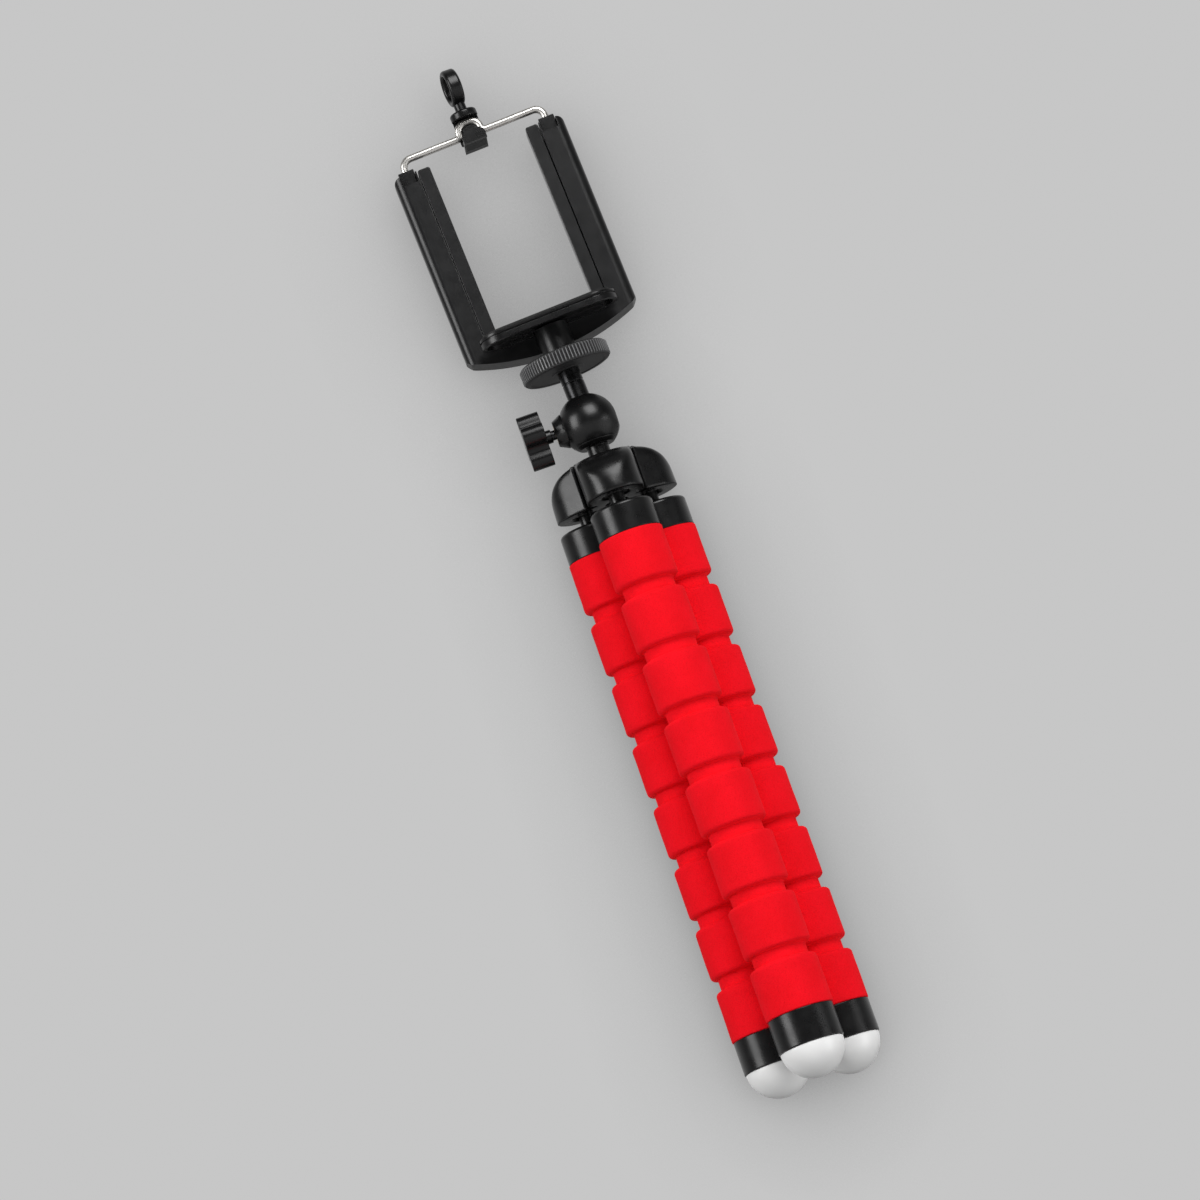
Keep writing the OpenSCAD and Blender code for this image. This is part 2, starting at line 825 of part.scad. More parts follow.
module tray_pad() {
    color("dimgray") translate([0, 0, bridge_top]) linear_extrude(height = pad_h) tray_outline(1.4);
}

// Quarter bend of the wire in the XZ plane: the centre, the radius and the angle where it starts
module wire_bend(center, r, start) {
    translate([center[0], 0, center[1]])
        rotate([90, 0, 0])
            rotate([0, 0, start])
                rotate_extrude(angle = 90) translate([r, 0]) circle(r = wire_r);
}

// One leg of the bail with its corner, half the bar and the side of the hump
module half_bail() {
    bend_x = wire_x - wire_bend_r;
    hump_out = hump_half_w + hump_fillet_r;
    bend_z = bar_z - wire_bend_r;
    translate([wire_x, 0, 0]) rod(wire_r, wire_end, bend_z);
    wire_bend([bend_x, bend_z], wire_bend_r, 0);
    translate([0, 0, bar_z]) cross_rod(wire_r, hump_out, bend_x);
    wire_bend([hump_out, bar_z + hump_fillet_r], hump_fillet_r, 180);
    wire_bend([hump_half_w - hump_corner_r, bar_z + hump_h - hump_corner_r], hump_corner_r, 0);
}

module wire_bail() {
    hump_in = hump_half_w - hump_corner_r;
    color("silver")
        translate([0, wire_y, 0]) {
            both_sides() half_bail();
            translate([0, 0, bar_z + hump_h]) cross_rod(wire_r, -hump_in, hump_in);
        }
}

module bail_bushes() {
    color("black")
        both_sides()
            translate([wire_x, wire_y, 0])
                difference() {
                    block([-bush_half, -bush_half, bush_bottom], [bush_half, bush_half, bush_top]);
                    rod(wire_hole_r, bush_bottom - over, bush_top + over);
                }
}

module stop_collars() {
    color("silver")
        both_sides()
            translate([wire_x, wire_y, 0])
                difference() {
                    rod(collar_r, wire_end, collar_top);
                    rod(wire_hole_r, wire_end - over, collar_top + over);
                }
}

// Coil around the wire, swept along its turns
module coil() {
    sides = 6;
    rings = spring_turns * 8;
    low = collar_top + spring_wire_d / 2 + set_fit;
    high = web_bottom - spring_wire_d / 2 - set_fit;
    mean_r = spring_r - spring_wire_d / 2;
    points = [
        for (k = [0:rings], s = [0:sides - 1])
            let (
                turn = 360 * k / 8,
                side = 360 * s / sides,
                r = mean_r + spring_wire_d / 2 * cos(side)
            )
            [
                r * cos(turn),
                r * sin(turn),
                low + (high - low) * k / rings + spring_wire_d / 2 * sin(side)
            ]
    ];
    walls = [
        for (k = [0:rings - 1], s = [0:sides - 1])
            let (
                a = k * sides + s,
                b = k * sides + (s + 1) % sides
            )
            each [[a, a + sides, b], [b, a + sides, b + sides]]
    ];
    ends = [
        for (s = [1:sides - 2])
            each [[0, s, s + 1], [rings * sides, rings * sides + s + 1, rings * sides + s]]
    ];
    polyhedron(points, concat(walls, ends));
}

module bail_springs() {
    color("silver") both_sides() translate([wire_x, wire_y, 0]) coil();
}

// Outline of a block with a rounded top, from the front
module arch_outline(half_w, bottom, top, r) {
    polygon(concat(
        [[half_w, bottom]],
        arc([half_w - r, top - r], r, 0, 90),
        arc([r - half_w, top - r], r, 90, 180),
        [[-half_w, bottom]]
    ));
}

// Arch inside the hump, a round cap above it, a web behind the wire and a jaw with a lip in front
module hook_block() {
    web_z = jaw_top - over;
    color("black")
        difference() {
            union() {
                difference() {
                    translate([0, wire_y, web_z])
                        rotate_extrude() polygon(bar_section(hook_cap_r, hook_top - web_z, 0.4, 0.9));
                    block(
                        [-hook_cap_d, wire_y - hook_cap_d, web_z - over],
                        [hook_cap_d, hook_web_y, hook_cap_z]
                    );
                }
                from_front(wire_y - wire_r / 2, hook_web_y + over)
                    arch_outline(hook_half_w, jaw_bottom, hook_arch_top, hook_arch_round);
                from_front(jaw_front + over, hook_web_y + 2 * over)
                    arch_outline(jaw_half_w, jaw_bottom, jaw_top, jaw_round);
                from_front(jaw_front, jaw_front + lip_t)
                    arch_outline(jaw_half_w, jaw_bottom - lip_drop, jaw_top, jaw_round);
            }
            translate([0, wire_y, 0]) rod(ring_stem_d / 2 + run_fit, hook_cap_z - over, hook_top + over);
        }
}

module hook_pad() {
    color("dimgray")
        block(
            [-jaw_half_w + lap, jaw_front + lip_t + free_gap, jaw_bottom - pad_h],
            [jaw_half_w - lap, frame_front, jaw_bottom]
        );
}

// Round eared pull on a stem that turns in the hook block
module pull_ring() {
    color("black")
        translate([0, wire_y, 0])
            rotate([0, 0, ring_turn])
                difference() {
                    union() {
                        translate([-ring_w / 2, 0, ring_z])
                            rotate([0, 90, 0])
                                rotate_extrude()
                                    polygon(round_rect([ring_hole_d / 2, 0], [ring_d / 2, ring_w], ring_edge_r));
                        rod(ring_stem_d / 2, hook_cap_z + set_fit, ring_z - ring_hole_d / 2 - ring_edge_r / 2);
                    }
                    translate([-ring_w, 0, ring_z]) cross_rod(ring_hole_d / 2, 0, 2 * ring_w);
                }
}

for (i = [0:2]) {
    place_leg(i) ball_stud();
    place_leg(i) upper_cap();
    for (k = [1:BULGES])
        place_leg(i) bulge(k);
    place_leg(i) lower_cap();
    place_leg(i) foot();
}
crown();
crown_screw();
place_housing() ball_housing();
place_housing() ball_seat();
place_housing() pressure_pad();
place_housing() clamp_bush();
place_housing() clamp_knob();
place_housing() clamp_screw();
place_holder() head_stud();
place_holder() lock_wheel();
place_holder() holder_frame();
place_holder() mirror([1, 0, 0]) arm_cover();  // left_arm_cover
place_holder() arm_cover();  // right_arm_cover
place_holder() thread_insert();
place_holder() tray();
place_holder() tray_pad();
place_holder() wire_bail();
place_holder() bail_bushes();
place_holder() stop_collars();
place_holder() bail_springs();
place_holder() hook_block();
place_holder() hook_pad();
place_holder() pull_ring();
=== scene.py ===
import json
import math

import bmesh
import bpy
from mathutils import Matrix, Vector, noise


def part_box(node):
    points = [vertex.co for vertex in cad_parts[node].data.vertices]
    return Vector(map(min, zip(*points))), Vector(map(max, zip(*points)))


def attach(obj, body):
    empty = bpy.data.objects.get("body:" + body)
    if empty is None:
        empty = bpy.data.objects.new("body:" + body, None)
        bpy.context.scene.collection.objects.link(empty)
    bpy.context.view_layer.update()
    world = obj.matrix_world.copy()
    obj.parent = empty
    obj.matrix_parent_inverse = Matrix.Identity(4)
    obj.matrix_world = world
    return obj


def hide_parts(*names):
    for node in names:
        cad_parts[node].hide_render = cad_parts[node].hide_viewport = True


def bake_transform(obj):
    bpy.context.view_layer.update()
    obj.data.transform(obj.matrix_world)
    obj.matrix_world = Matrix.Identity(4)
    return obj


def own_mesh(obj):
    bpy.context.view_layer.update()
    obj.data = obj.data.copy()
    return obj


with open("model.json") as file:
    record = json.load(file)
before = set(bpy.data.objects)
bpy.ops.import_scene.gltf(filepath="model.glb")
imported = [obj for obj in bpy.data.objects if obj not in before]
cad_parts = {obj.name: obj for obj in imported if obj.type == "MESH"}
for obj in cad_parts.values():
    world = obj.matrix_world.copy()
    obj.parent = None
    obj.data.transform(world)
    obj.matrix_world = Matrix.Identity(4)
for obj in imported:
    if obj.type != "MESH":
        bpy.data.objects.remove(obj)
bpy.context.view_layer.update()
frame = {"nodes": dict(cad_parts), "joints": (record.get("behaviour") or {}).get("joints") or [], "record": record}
NODES = frame["nodes"]
JOINTS = {joint["name"]: joint for joint in frame["joints"]}
SLOT = {piece["node"]: piece["material_slot"] for piece in frame["record"]["subparts"]}
BODY = {
    node: body
    for body, members in frame["record"]["behaviour"]["bodies"].items()
    for node in members
}
LEGS = ("front", "right", "left")
MM = 0.001


# Node trees

def new_tree(name):
    """A material with its node tree and its Principled shader."""
    material = bpy.data.materials.new(name)
    material.use_nodes = True
    tree = material.node_tree
    return material, tree, tree.nodes["Principled BSDF"]


def add(tree, kind, **inputs):
    """A new node with some of its input sockets set by name."""
    node = tree.nodes.new(kind)
    for key, value in inputs.items():
        node.inputs[key.replace("_", " ")].default_value = value
    return node


def noise_node(tree, scale, detail=2.0, roughness=0.5):
    """Noise over the object's own coordinates, in features per metre."""
    where = tree.nodes.new("ShaderNodeTexCoord")
    node = add(tree, "ShaderNodeTexNoise", Scale=scale, Detail=detail, Roughness=roughness)
    tree.links.new(where.outputs["Object"], node.inputs["Vector"])
    return node.outputs["Fac"]


def ramp(tree, fac, stops):
    """A colour ramp from a list of positions and colours or grey values."""
    node = tree.nodes.new("ShaderNodeValToRGB")
    tree.links.new(fac, node.inputs["Fac"])
    elements = node.color_ramp.elements
    while len(elements) < len(stops):
        elements.new(0.5)
    for element, (position, value) in zip(elements, stops):
        element.position = position
        element.color = (*value, 1) if isinstance(value, tuple) else (value, value, value, 1)
    return node.outputs["Color"]


def bump(tree, height, distance, strength=1.0, under=None):
    """A bump of the given height in metres, on top of an earlier one."""
    node = add(tree, "ShaderNodeBump", Strength=strength, Distance=distance)
    tree.links.new(height, node.inputs["Height"])
    if under is not None:
        tree.links.new(under, node.inputs["Normal"])
    return node.outputs["Normal"]


def mix(tree, fac, a, b):
    """A colour mixed from two colour sockets or plain colours."""
    node = tree.nodes.new("ShaderNodeMix")
    node.data_type = "RGBA"
    for socket, value in ((node.inputs[0], fac), (node.inputs[6], a), (node.inputs[7], b)):
        if isinstance(value, bpy.types.NodeSocket):
            tree.links.new(value, socket)
        else:
            socket.default_value = value if isinstance(value, float) else (*value, 1)
    return node.outputs[2]


# Materials

FINE_GRAIN = 5200


def plastic(name, dark, light, rough, grain=FINE_GRAIN, grain_height=0.02, specular=0.5):
    """Moulded plastic: faint flow marks, a fine etched grain in mm and paler worn edges."""
    material, tree, shader = new_tree(name)
    flow = noise_node(tree, 75, 3.0)
    edge = tree.nodes.new("ShaderNodeNewGeometry").outputs["Pointiness"]
    worn = ramp(tree, edge, [(0.52, 0.0), (0.6, 0.35)])
    worn_colour = tuple(min(1, c * 2.4 + 0.004) for c in light)
    colour = ramp(tree, flow, [(0.3, dark), (0.7, light)])
    tree.links.new(mix(tree, worn, colour, worn_colour), shader.inputs["Base Color"])
    smudge = noise_node(tree, 240, 4.0, 0.6)
    tree.links.new(ramp(tree, smudge, [(0.3, rough[0]), (0.7, rough[1])]), shader.inputs["Roughness"])
    fine = noise_node(tree, grain, 2.0)
    wave = noise_node(tree, 160, 1.0)
    normal = bump(tree, wave, 0.04 * MM, 0.3)
    tree.links.new(bump(tree, fine, grain_height * MM, 0.8, normal), shader.inputs["Normal"])
    shader.inputs["Specular IOR Level"].default_value = specular
    return material


def metal(name, dark, light, rough):
    """Plated or drawn metal: cloudy tint, uneven gloss and fine marks."""
    material, tree, shader = new_tree(name)
    cloud = noise_node(tree, 140, 3.0)
    tree.links.new(ramp(tree, cloud, [(0.3, dark), (0.7, light)]), shader.inputs["Base Color"])
    marks = noise_node(tree, 900, 5.0, 0.7)
    tree.links.new(ramp(tree, marks, [(0.3, rough[0]), (0.75, rough[1])]), shader.inputs["Roughness"])
    tree.links.new(bump(tree, marks, 0.004 * MM, 0.35), shader.inputs["Normal"])
    shader.inputs["Metallic"].default_value = 1.0
    return material


def knurl(name):
    """Black plastic with a painted highlight on its rib crests, a paler grey laid on by the mesh's own crest
    attribute.
    """
    material, tree, shader = new_tree(name)
    crest = tree.nodes.new("ShaderNodeAttribute")
    crest.attribute_name = "crest"
    smudge = noise_node(tree, 300, 4.0, 0.6)
    # Painted highlight: a pale grey on the rib crests that stands in for the lamps' glints along the ribs.
    crest_highlight_grey = mix(tree, smudge, (0.13, 0.13, 0.134), (0.24, 0.24, 0.245))
    tone = mix(tree, crest.outputs["Fac"], (0.0030, 0.0030, 0.0032), crest_highlight_grey)
    tree.links.new(tone, shader.inputs["Base Color"])
    gloss = ramp(tree, crest.outputs["Fac"], [(0.0, 0.55), (1.0, 0.28)])
    tree.links.new(gloss, shader.inputs["Roughness"])
    tree.links.new(bump(tree, noise_node(tree, FINE_GRAIN), 0.007 * MM, 0.8), shader.inputs["Normal"])
    return material


def foam(name):
    """Closed cell foam: saturated red skin with fine pores and a soft uneven surface."""
    material, tree, shader = new_tree(name)
    cloud = noise_node(tree, 110, 4.0, 0.6)
    skin = ramp(tree, cloud, [(0.25, (0.82, 0.0020, 0.008)), (0.75, (0.92, 0.0032, 0.013))])
    where = tree.nodes.new("ShaderNodeTexCoord")
    cells = add(tree, "ShaderNodeTexVoronoi", Scale=2300.0)
    tree.links.new(where.outputs["Object"], cells.inputs["Vector"])
    pores = ramp(tree, cells.outputs["Distance"], [(0.12, 0.0), (0.42, 1.0)])
    speck = noise_node(tree, 1500, 3.0, 0.6)
    # Painted shade: a darker red at the pore centres, where shade falls in the open cells.
    pore_shade_red = mix(tree, pores, (0.60, 0.0012, 0.005), skin)
    tree.links.new(mix(tree, 0.45, skin, pore_shade_red), shader.inputs["Base Color"])
    tree.links.new(ramp(tree, speck, [(0.3, 0.74), (0.7, 0.93)]), shader.inputs["Roughness"])
    soft = bump(tree, noise_node(tree, 320, 3.0), 0.25 * MM, 0.5)
    open_cells = bump(tree, pores, 0.07 * MM, 0.55, soft)
    tree.links.new(bump(tree, speck, 0.10 * MM, 0.5, open_cells), shader.inputs["Normal"])
    shader.inputs["Specular IOR Level"].default_value = 0.12
    shader.inputs["Sheen Weight"].default_value = 0.04
    shader.inputs["Sheen Roughness"].default_value = 0.5
    shader.inputs["Sheen Tint"].default_value = (1.0, 0.2, 0.2, 1)
    return material


RED_FOAM = foam("red_foam")
BLACK_PLASTIC = plastic(
    "black_plastic", (0.0026, 0.0026, 0.0028), (0.0044, 0.0044, 0.0046), (0.25, 0.33),
    grain_height=0.006, specular=0.4,
)
BLACK_SATIN = plastic(
    "black_satin", (0.0034, 0.0034, 0.0037), (0.0056, 0.0056, 0.0059), (0.28, 0.36),
    grain_height=0.008, specular=0.42,
)
WHITE_PLASTIC = plastic(
    "white_plastic", (0.87, 0.87, 0.865), (0.92, 0.92, 0.915), (0.28, 0.40),
    grain=4200, grain_height=0.012,
)
IVORY_PLASTIC = plastic("ivory_plastic", (0.66, 0.61, 0.48), (0.74, 0.69, 0.56), (0.35, 0.5))
BLACK_RUBBER = plastic(
    "black_rubber", (0.010, 0.010, 0.010), (0.016, 0.016, 0.016), (0.62, 0.82),
    grain=3200, grain_height=0.06, specular=0.3,
)
BRIGHT_WIRE = metal("bright_wire", (0.66, 0.64, 0.61), (0.74, 0.72, 0.69), (0.30, 0.38))
ZINC_STEEL = metal("zinc_steel", (0.50, 0.51, 0.53), (0.62, 0.63, 0.64), (0.24, 0.42))
BRASS = metal("brass", (0.62, 0.44, 0.18), (0.74, 0.54, 0.25), (0.22, 0.38))
KNURL = knurl("black_knurl")
BLACK_METAL = metal("black_metal", (0.030, 0.030, 0.031), (0.050, 0.050, 0.051), (0.24, 0.36))
FINISH = {
    "red_foam": RED_FOAM,
    "black_plastic": BLACK_PLASTIC,
    "white_plastic": WHITE_PLASTIC,
    "black_metal": BLACK_METAL,
    "bright_wire": BRIGHT_WIRE,
    "zinc_steel": ZINC_STEEL,
    "brass": BRASS,
    "ivory_plastic": IVORY_PLASTIC,
    "black_rubber": BLACK_RUBBER,
}

for name, node in NODES.items():
    for place in node.material_slots:
        place.material = FINISH[SLOT[name]]


# Making pieces

def settle(piece):
    """Applies a piece's modifiers."""
    depsgraph = bpy.context.evaluated_depsgraph_get()
    mesh = bpy.data.meshes.new_from_object(piece.evaluated_get(depsgraph))
    piece.modifiers.clear()
    piece.data = mesh


def new_piece(name, mesh, material):
    """An object in the scene with one material."""
    piece = bpy.data.objects.new(name, mesh)
    bpy.context.scene.collection.objects.link(piece)
    mesh.materials.clear()
    mesh.materials.append(material)
    return piece


def stand_for(piece, node):
    """Makes a hard piece move with a CAD node and stand for it."""
    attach(piece, BODY[node])
    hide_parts(node)


def ring_mesh(name, rings, smooth_angle, capped=True):
    """A closed mesh through rings of points, with both ends filled or else joined to each other."""
    mesh = bpy.data.meshes.new(name)
    made = bmesh.new()
    loops = [[made.verts.new(point) for point in ring] for ring in rings]
    following = loops[1:] if capped else loops[1:] + loops[:1]
    for a, b in zip(loops, following):
        for k in range(len(a)):
            n = (k + 1) % len(a)
            made.faces.new((a[k], b[k], b[n], a[n]))
    if capped:
        made.faces.new(list(reversed(loops[0])))
        made.faces.new(loops[-1])
    bmesh.ops.recalc_face_normals(made, faces=made.faces)
    made.to_mesh(mesh)
    made.free()
    mesh.shade_smooth()
    mesh.set_sharp_from_angle(angle=math.radians(smooth_angle))
    return mesh


def corner(r, z, size, start, end, steps):
    """Points of a round corner about (r, z), turning from one angle to another."""
    turn = [math.radians(start + (end - start) * k / steps) for k in range(steps + 1)]
    return [(r + size * math.cos(a), z + size * math.sin(a)) for a in turn]


def clear_of(gap, near, far):
    """From 0 at the near distance to 1 at the far one."""
    return max(0.0, min(1.0, (gap - near) / (far - near)))


# Foam sleeves, in mm from the leg's ball, as in the part's source

BULGES = 8
BULGE_LEN = 16.7
GROOVE_W = 3.9
GROOVE_DEPTH = 2.1
FOAM_TOP_R = 10.45
FOAM_BOTTOM_R = 11.05
FOAM_TOP = -17.5
RIM_R = 1.4
END_R = 0.5
FILLET = 0.45
AROUND = 60
PITCH = BULGE_LEN + GROOVE_W
SEAM_PLAIN = 0.6
SEAM_FADE = 3.1
BROAD_WAVE = 6.5
BROAD_HEIGHT = 0.10
FINE_WAVE = 1.9
FINE_HEIGHT = 0.035
FINE_OFFSET = Vector((7.1, 3.3, 5.9))


def bulge_radius(i):
    return FOAM_TOP_R + (FOAM_BOTTOM_R - FOAM_TOP_R) * (i - 1) / (BULGES - 1)


def bulge_top(i):
    return FOAM_TOP - (i - 1) * PITCH


def side(r, z0, z1, steps):
    """Points down a straight side, without its last one."""
    return [(r, z0 + (z1 - z0) * k / steps) for k in range(steps)]


def lower_half(i):
    """Outline from the middle of bulge i down to its lower end."""
    r = bulge_radius(i)
    bottom = bulge_top(i) - BULGE_LEN
    middle = bulge_top(i) - BULGE_LEN / 2
    rim = RIM_R if i < BULGES else END_R
    return side(r, middle, bottom + rim, 6) + corner(r - rim, bottom + rim, rim, 0, -90, 6)


def upper_half(i):
    """Outline from the upper end of bulge i down to its middle."""
    r = bulge_radius(i)
    top = bulge_top(i)
    middle = top - BULGE_LEN / 2
    rim = RIM_R if i > 1 else END_R
    return corner(r - rim, top - rim, rim, 90, 0, 6) + side(r, top - rim, middle, 6)[1:] + [(r, middle)]


def neck(i):
    """Outline of the groove between bulge i and the next."""
    r = (bulge_radius(i) + bulge_radius(i + 1)) / 2 - GROOVE_DEPTH
    top = bulge_top(i) - BULGE_LEN
    bottom = bulge_top(i + 1)
    return (
        corner(r + FILLET, top - FILLET, FILLET, 90, 180, 4)
        + corner(r + FILLET, bottom + FILLET, FILLET, 180, 270, 4)
    )


def unevenness(point, fade):
    """How far the foam's skin lies off its plain form, in metres."""
    broad = noise.noise(point / (BROAD_WAVE * MM))
    fine = noise.noise(point / (FINE_WAVE * MM) + FINE_OFFSET)
    return (BROAD_HEIGHT * broad + FINE_HEIGHT * fine) * MM * fade


def leg_matrix(leg):
    """From a leg's own frame, hanging down from its ball, to the frame of the model."""
    joint = JOINTS[leg + "_twist"]
    up = Vector(joint["axis"]).normalized()
    hinge = Vector(JOINTS[leg + "_spread"]["axis"]).normalized()
    out = hinge.cross(up)
    turn = Matrix((out, up.cross(out), up)).transposed().to_4x4()
    return Matrix.Translation(Vector(joint["pos_m"])) @ turn


def sleeve(name, outline, place, seams):
    """A closed lathed piece of foam along a leg, plain near the heights where it meets the next piece."""
    rings = []
    for r, z in outline:
        gap = min(abs(z - seam) for seam in seams)
        fade = clear_of(gap, SEAM_PLAIN, SEAM_FADE)
        ring = []
        for k in range(AROUND):
            a = 2 * math.pi * k / AROUND
            out = place.to_3x3() @ Vector((math.cos(a), math.sin(a), 0))
            point = place @ Vector((r * MM * math.cos(a), r * MM * math.sin(a), z * MM))
            ring.append(point + out * unevenness(point, fade))
        rings.append(ring)
    piece = new_piece(name, ring_mesh(name, rings, 50), RED_FOAM)
    return piece


for leg in LEGS:
    place = leg_matrix(leg)
    middles = [bulge_top(i) - BULGE_LEN / 2 for i in range(1, BULGES + 1)]
    first = sleeve(leg + "_foam_top", upper_half(1), place, middles)
    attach(first, leg + "_link_1")
    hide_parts(leg + "_bulge_1")
    for i in range(1, BULGES):
        piece = sleeve(f"{leg}_foam_{i}", lower_half(i) + neck(i) + upper_half(i + 1), place, middles)
        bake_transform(piece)
        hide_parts(f"{leg}_bulge_{i + 1}")
    last = sleeve(leg + "_foam_end", lower_half(BULGES), place, middles)
    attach(last, f"{leg}_link_{BULGES}")
    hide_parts(f"{leg}_bulge_{BULGES}")


# Moulded pieces with rounded edges

WELD = 0.002
FLAT_WITHIN = math.radians(0.4)
EDGE_FROM = math.radians(34)
EDGE_SEGMENTS = 3
FLAT_WEIGHT = 90


def moulded(node, radius, material=None):
    """A copy of a CAD node with its edges rounded to a radius in mm, which stands for the node."""
    mesh = NODES[node].data.copy()
    made = bmesh.new()
    made.from_mesh(mesh)
    bmesh.ops.remove_doubles(made, verts=made.verts, dist=WELD * MM)
    bmesh.ops.dissolve_limit(
        made, angle_limit=FLAT_WITHIN, verts=made.verts, edges=made.edges, use_dissolve_boundaries=False
    )
    made.to_mesh(mesh)
    made.free()
    mesh.shade_smooth()
    piece = new_piece(node + "_form", mesh, material or FINISH[SLOT[node]])
    edge = piece.modifiers.new("edges", "BEVEL")
    edge.width = radius * MM
    edge.segments = EDGE_SEGMENTS
    edge.limit_method = "ANGLE"
    edge.angle_limit = EDGE_FROM
    edge.miter_outer = "MITER_ARC"
    edge.use_clamp_overlap = True
    piece.modifiers.new("flat", "WEIGHTED_NORMAL").weight = FLAT_WEIGHT
    settle(piece)
    stand_for(piece, node)


def eased(piece, rounds):
    """Adds a smoothing modifier to a piece."""
    ease = piece.modifiers.new("ease", "SMOOTH")
    ease.factor = 0.5
    ease.iterations = rounds
    return ease


def softened(node, voxel, rounds, free, free_rounds):
    """A copy of a CAD node whose edges run into each other, most where free says so, which stands for it."""
    piece = new_piece(node + "_form", NODES[node].data.copy(), FINISH[SLOT[node]])
    skin = piece.modifiers.new("skin", "REMESH")
    skin.mode = "VOXEL"
    skin.voxel_size = voxel * MM
    eased(piece, rounds)
    settle(piece)
    group = piece.vertex_groups.new(name="free")
    for vertex in piece.data.vertices:
        group.add([vertex.index], free(vertex.co), "REPLACE")
    eased(piece, free_rounds).vertex_group = "free"
    settle(piece)
    piece.vertex_groups.clear()
    piece.data.shade_smooth()
    piece.data.set_sharp_from_angle(angle=math.radians(60))
    stand_for(piece, node)


# Where the crown keeps its edges, in mm and degrees

CROWN_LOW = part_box("crown")[0][2]
RIM_HELD = 1.0
RIM_FREE = 3.5
SCREW_HOLLOW_R = 4.2
SOCKET_R = 4.6
SOCKET_FREE_R = 5.1
SLOT_ANGLES = (330, 90, 210)
SLOT_START = 5
SLOT_HELD = 1.2
SLOT_FREE = 2.6


def crown_skin(point):
    """How freely the crown's surface may round off: not at its slots, lower rim, sockets and screw hole."""
    free = clear_of((point.z - CROWN_LOW) / MM, RIM_HELD, RIM_FREE)
    if math.hypot(point.x, point.y) < SCREW_HOLLOW_R * MM:
        free = 0.0
    for leg in LEGS:
        socket = Vector(JOINTS[leg + "_spread"]["pos_m"])
        free *= clear_of((point - socket).length / MM, SOCKET_R, SOCKET_FREE_R)
    for angle in SLOT_ANGLES:
        out = Vector((math.cos(math.radians(angle)), math.sin(math.radians(angle)), 0))
        if point.dot(out) > SLOT_START * MM:
            free *= clear_of(abs(point.cross(out).z) / MM, SLOT_HELD, SLOT_FREE)
    return free


# Wire bail, wheel and springs, in mm from the head ball's centre, as in the part's source

def holder_matrix():
    """From the holder's own frame, upright on the ball's centre, to the frame of the model."""
    up = Vector(JOINTS["bail_slide"]["axis"]).normalized()
    back = Vector((0, 1, 0))
    turn = Matrix((back.cross(up), back, up)).transposed().to_4x4()
    return Matrix.Translation(Vector(JOINTS["head_tilt"]["pos_m"])) @ turn


HOLDER = holder_matrix()
WIRE_R = 1.2
WIRE_X = 24.05
WIRE_Y = 6.0
WIRE_END = 38.9
WIRE_AROUND = 28
BAR_Z = 102.65
BEND_R = 3.0
HUMP_H = 4.3
HUMP_HALF = 3.7
HUMP_FILLET = 1.3
HUMP_CORNER = HUMP_H - HUMP_FILLET


def wire_path():
    """Points of the bail's axis in X and Z, from the right leg's end over the hump to the left one's."""
    bend_x = WIRE_X - BEND_R
    half = [(WIRE_X, WIRE_END), (WIRE_X, BAR_Z - BEND_R - 2.0)]
    half += corner(bend_x, BAR_Z - BEND_R, BEND_R, 0, 90, 14)
    half += [(bend_x * 0.7, BAR_Z)]
    half += corner(HUMP_HALF + HUMP_FILLET, BAR_Z + HUMP_FILLET, HUMP_FILLET, 270, 180, 10)
    half += corner(HUMP_HALF - HUMP_CORNER, BAR_Z + HUMP_FILLET, HUMP_CORNER, 0, 90, 14)
    return half + [(-x, z) for x, z in reversed(half)]


def bent_wire():
    """The bail as one round wire along its path."""
    path = wire_path()
    rings = []
    for k, (x, z) in enumerate(path):
        ahead = path[min(k + 1, len(path) - 1)]
        behind = path[max(k - 1, 0)]
        along = Vector((ahead[0] - behind[0], 0, ahead[1] - behind[1])).normalized()
        sideways = Vector((-along.z, 0, along.x))
        ring = []
        for j in range(WIRE_AROUND):
            a = 2 * math.pi * j / WIRE_AROUND
            offset = sideways * math.cos(a) + Vector((0, 1, 0)) * math.sin(a)
            ring.append(HOLDER @ ((Vector((x, WIRE_Y, z)) + offset * WIRE_R) * MM))
        rings.append(ring)
    stand_for(new_piece("bent_wire", ring_mesh("bent_wire", rings, 40), BRIGHT_WIRE), "wire_bail")


WHEEL_Z = 18.1
WHEEL_H = 5.3
WHEEL_R = 14.75
RIB_H = 0.55
RIBS = 80
RIB_STEPS = 8
RIB_GAIN = 1.25
RIB_SHIFT = 0.2
SCREW_HOLE_R = 3.225
WHEEL_RIM = WHEEL_R - RIB_H
# Radius, height and share of a rib along the wheel's outline, from the screw hole round to it again
WHEEL_ROWS = (
    (SCREW_HOLE_R, 0.0, 0.0),
    (5.2, 0.0, 0.0),
    (5.5, 0.25, 0.0),
    (12.4, 0.25, 0.0),
    (12.7, 0.0, 0.0),
    (WHEEL_RIM - 0.5, 0.0, 0.0),
    (WHEEL_RIM - 0.12, 0.14, 0.0),
    (WHEEL_RIM, 0.40, 0.35),
    (WHEEL_RIM, 0.75, 1.0),
    (WHEEL_RIM, WHEEL_H - 0.75, 1.0),
    (WHEEL_RIM, WHEEL_H - 0.40, 0.35),
    (WHEEL_RIM - 0.12, WHEEL_H - 0.14, 0.0),
    (WHEEL_RIM - 0.5, WHEEL_H, 0.0),
    (SCREW_HOLE_R, WHEEL_H, 0.0),
)


